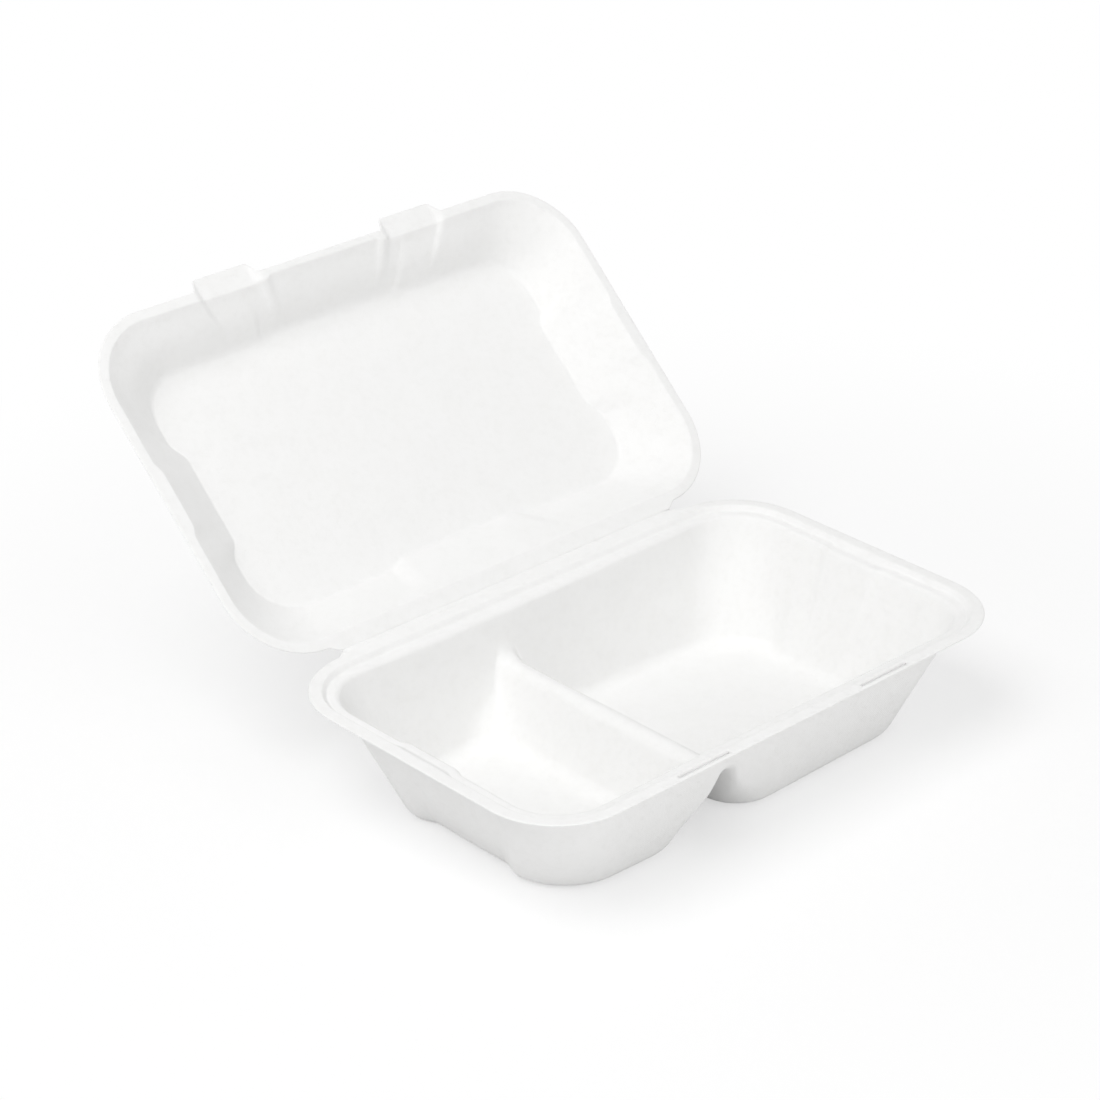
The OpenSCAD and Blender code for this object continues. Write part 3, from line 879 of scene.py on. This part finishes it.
class PULP_OT_fold(Operator):
    """Builds the thin band of pulp that bends at the crease between tray and lid"""

    bl_idname = "pulp.fold"
    bl_label = "Fold"

    REACH = 0.7
    BEND = 0.6 * MM
    SKIN = 0.3 * MM
    COVER = 0.12 * MM
    BLEND = 0.8 * MM
    ROUND = 25
    LONG = 41

    def execute(self, context):
        scene = context.scene
        rim = scene.pulp_rim
        lock = scene.pulp_lock
        lift = pi - OPENING
        reach = lock.fold_w * self.REACH
        s = np.linspace(-reach, reach, self.ROUND)
        turn = lift * ease((s + self.BEND) / (2 * self.BEND))
        step = np.concatenate([[0.0], np.diff(s)])
        path = np.column_stack([np.cumsum(step * np.cos(turn)), np.cumsum(step * np.sin(turn))])
        path -= path[len(s) // 2]
        normal = np.column_stack([-np.sin(turn), np.cos(turn)])
        deep = rim.gap / 2 + self.COVER
        loop = np.concatenate([path - (deep + self.SKIN) * normal, (path - deep * normal)[::-1]])
        x = np.linspace(-lock.fold_half, lock.fold_half, self.LONG)
        points = np.empty((len(x), len(loop), 3))
        points[..., 0] = x[:, None]
        points[..., 1] = FOLD_Y + loop[None, :, 0]
        points[..., 2] = FOLD_Z + loop[None, :, 1]
        ids = numbers(0, len(x), len(loop))
        faces = band_quads(ids).tolist() + [ids[0].tolist()[::-1], ids[-1].tolist()]
        mesh = bpy.data.meshes.new("pulp_fold")
        mesh.from_pydata(points.reshape(-1, 3), [], faces)
        mesh.polygons.foreach_set("use_smooth", np.ones(len(faces), dtype=bool))
        mesh.update()
        piece = bpy.data.objects.new("pulp_fold", mesh)
        context.collection.objects.link(piece)
        piece.data.materials.append(bpy.data.materials["pulp_inner_face"])
        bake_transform(piece)
        return {"FINISHED"}


class PULP_OT_stage(Operator):
    """Sets the white floor, the soft lamps and the camera"""

    bl_idname = "pulp.stage"
    bl_label = "Studio"

    FLOOR_SIZE = 6.0
    FLOOR_SEEN = 0.97
    SHADOW_END = (0.16, 0.42)
    MIDDLE = Vector((0.0, 0.04, 0.05))
    KEY_AT = Vector((-1.0, 0.0, 1.75))
    FILL_AT = Vector((0.0, -1.75, 1.0))
    LAMP_SIZE = 1.2
    SENSOR = 36.0

    def floor(self, stage):
        """White floor that keeps the box's shadow and fades into the white surround."""
        mesh = bpy.data.meshes.new("studio_floor")
        corners = np.array([[-1, -1, 0], [1, -1, 0], [1, 1, 0], [-1, 1, 0]]) * self.FLOOR_SIZE / 2
        mesh.from_pydata(corners, [], [(0, 1, 2, 3)])
        floor = bpy.data.objects.new("studio_floor", mesh)
        bpy.context.collection.objects.link(floor)
        material = bpy.data.materials.new("studio_floor")
        material.use_nodes = True
        tree = material.node_tree
        tree.nodes.clear()
        signal = Signal(tree)
        seen = signal.add("ShaderNodeLightPath")
        where = signal.add("ShaderNodeTexCoord", out=3)
        far = signal.add("ShaderNodeVectorMath", {"operation": "LENGTH"}, {0: where}, out=1)
        grey = seen * (self.FLOOR_SEEN - stage.floor) + stage.floor
        colour = signal.add("ShaderNodeCombineColor", None, {0: grey, 1: grey, 2: grey})
        matt = signal.add("ShaderNodeBsdfDiffuse", None, {"Color": colour})
        glow = signal.add("ShaderNodeEmission", None, {"Strength": 1.0})
        white = far.between(*self.SHADOW_END) * (1.0 - stage.fade) + stage.fade
        lit = signal.add("ShaderNodeMixShader", None, {0: seen * white, 1: matt, 2: glow})
        signal.add("ShaderNodeOutputMaterial", None, {"Surface": lit})
        mesh.materials.append(material)

    def surround(self, scene, stage):
        """White surround: strength 1 as seen by the camera, the ambient strength as light."""
        world = bpy.data.worlds.new("studio_surround")
        scene.world = world
        world.use_nodes = True
        tree = world.node_tree
        tree.nodes.clear()
        signal = Signal(tree)
        seen = signal.add("ShaderNodeLightPath")
        strength = seen * (1.0 - stage.ambient) + stage.ambient
        glow = signal.add("ShaderNodeBackground", None, {"Color": (1.0, 1.0, 1.0, 1.0), "Strength": strength})
        signal.add("ShaderNodeOutputWorld", None, {"Surface": glow})

    def lamp(self, name, place, power):
        """Square area lamp turned to the middle of the box."""
        data = bpy.data.lights.new(name, "AREA")
        data.shape = "SQUARE"
        data.size = self.LAMP_SIZE
        data.energy = power
        lamp = bpy.data.objects.new(name, data)
        bpy.context.collection.objects.link(lamp)
        lamp.location = place
        lamp.rotation_euler = (self.MIDDLE - place).to_track_quat("-Z", "Y").to_euler()

    def camera(self, scene, stage):
        """Camera at the photograph's angle."""
        back = Vector((
            sin(stage.azimuth) * cos(stage.elevation),
            -cos(stage.azimuth) * cos(stage.elevation),
            sin(stage.elevation),
        ))
        right = Vector((cos(stage.azimuth), sin(stage.azimuth), 0.0))
        up = back.cross(right)
        data = bpy.data.cameras.new("photo_camera")
        data.sensor_fit = "HORIZONTAL"
        data.sensor_width = self.SENSOR
        data.lens = stage.lens
        camera = bpy.data.objects.new("photo_camera", data)
        bpy.context.collection.objects.link(camera)
        turn = Matrix((right, up, back)).transposed().to_4x4()
        camera.matrix_world = Matrix.Translation(Vector(stage.aim) + back * stage.reach) @ turn
        scene.camera = camera

    def execute(self, context):
        scene = context.scene
        stage = scene.pulp_stage
        scene.view_settings.view_transform = "Standard"
        self.floor(stage)
        self.surround(scene, stage)
        self.lamp("key_lamp", self.KEY_AT, stage.key)
        self.lamp("fill_lamp", self.FILL_AT, stage.fill)
        self.camera(scene, stage)
        return {"FINISHED"}


OPERATORS = (PULP_OT_tray, PULP_OT_lid, PULP_OT_fold, PULP_OT_stage)


class PULP_PT_box(Panel):
    """Lists the pieces and their sizes"""

    bl_idname = "PULP_PT_box"
    bl_label = "Pulp box"
    bl_space_type = "VIEW_3D"
    bl_region_type = "UI"
    bl_category = "Pulp box"

    def draw(self, context):
        for operator in OPERATORS:
            self.layout.operator(operator.bl_idname)
        for attribute, group in GROUPS.items():
            column = self.layout.column(align=True)
            column.label(text=group.__doc__)
            for name in group.__annotations__:
                column.prop(getattr(context.scene, attribute), name)


CLASSES = (*GROUPS.values(), *OPERATORS, PULP_PT_box)


def register():
    """Adds the classes and the groups of sizes to Blender."""
    for item in CLASSES:
        bpy.utils.register_class(item)
    for attribute, group in GROUPS.items():
        setattr(bpy.types.Scene, attribute, PointerProperty(type=group))


def unregister():
    """Takes them out again."""
    for attribute in GROUPS:
        delattr(bpy.types.Scene, attribute)
    for item in reversed(CLASSES):
        bpy.utils.unregister_class(item)


def main():
    """Builds every piece and the stage."""
    register()
    bpy.ops.pulp.tray()
    bpy.ops.pulp.lid()
    bpy.ops.pulp.fold()
    bpy.ops.pulp.stage()


if __name__ == "__main__":
    main()
